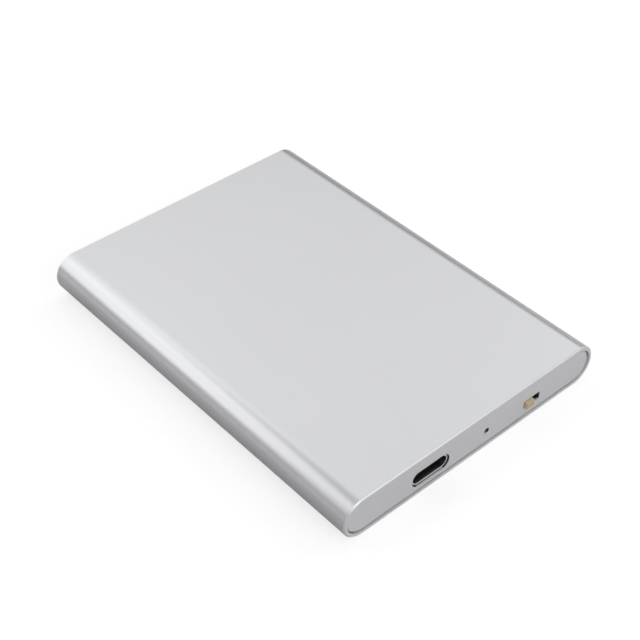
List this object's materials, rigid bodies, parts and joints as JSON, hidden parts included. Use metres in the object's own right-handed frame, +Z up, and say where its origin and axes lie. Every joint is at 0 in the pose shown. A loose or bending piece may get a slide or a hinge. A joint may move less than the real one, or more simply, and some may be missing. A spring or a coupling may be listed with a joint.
{
  "type": "portable solid state drive",
  "caption": "Flat aluminium portable solid state drive with round long sides, a recessed connector end with a small round indicator hole and a slide switch, and its full set of inner pieces.",
  "frame": {"origin": "centre of the sleeve's flat underside", "axes": "+Z up, +Y along the sleeve away from the connector end, +X across it, with the connector on the -X side"},
  "size_m": [0.0646, 0.089, 0.0091],
  "materials": {
    "anodised_shell": "bead-blasted and clear anodised",
    "anodised_panel": "bead-blasted and clear anodised",
    "adhesive": "foam-backed adhesive sheet",
    "bracket_plastic": "glass-filled moulding",
    "zinc_steel": "zinc plated",
    "circuit_board": "solder mask on glass-fibre laminate",
    "insulating_film": "thin polyester film",
    "connector_steel": "nickel plated",
    "connector_plastic": "liquid-crystal polymer",
    "gold_contact": "gold flashed",
    "switch_base_plastic": "phenolic",
    "tinned_brass": "tinned",
    "knob_plastic": "unfilled nylon, beige",
    "bronze": "phosphor bronze",
    "lamp_body": "white ceramic with clear lens",
    "guide_plastic": "smoked clear moulding",
    "chip_black": "epoxy moulding",
    "thermal_pad": "soft silicone gap filler",
    "inductor_grey": "pressed iron powder",
    "ceramic_tan": "ceramic with tinned ends",
    "resistor_black": "thick-film chip with tinned ends"
  },
  "bodies": {
    "drive": {"sleeve": "anodised_shell", "front_panel": "anodised_panel", "rear_panel": "anodised_panel", "front_adhesive": "adhesive", "rear_adhesive": "adhesive", "front_bracket": "bracket_plastic", "rear_bracket": "bracket_plastic", "bracket_screws": "zinc_steel", "main_board": "circuit_board", "insulating_film": "insulating_film", "usb_shell": "connector_steel", "usb_housing": "connector_plastic", "usb_contacts": "gold_contact", "usb_latch_plate": "connector_steel", "switch_cover": "zinc_steel", "switch_base": "switch_base_plastic", "switch_terminals": "tinned_brass", "status_led": "lamp_body", "light_guide": "guide_plastic", "bridge_chip": "chip_black", "board_thermal_pad": "thermal_pad", "crystal": "zinc_steel", "firmware_chip": "chip_black", "surge_arrays": "chip_black", "power_inductors": "inductor_grey", "power_regulators": "chip_black", "capacitors": "ceramic_tan", "resistors": "resistor_black", "module_socket": "connector_plastic", "module_socket_contacts": "gold_contact", "module_card": "circuit_board", "module_controller": "chip_black", "module_memory": "chip_black", "module_cache": "chip_black", "module_power_chip": "chip_black", "module_standoff": "tinned_brass", "module_screw": "zinc_steel", "module_thermal_pad": "thermal_pad"},
    "slider": {"switch_slider": "knob_plastic", "switch_wiper": "bronze"}
  },
  "joints": [
    {"name": "switch_slide", "type": "slide", "parent": "drive", "child": "slider", "axis": [1, 0, 0], "range_m": [0, 0.002]}
  ]
}
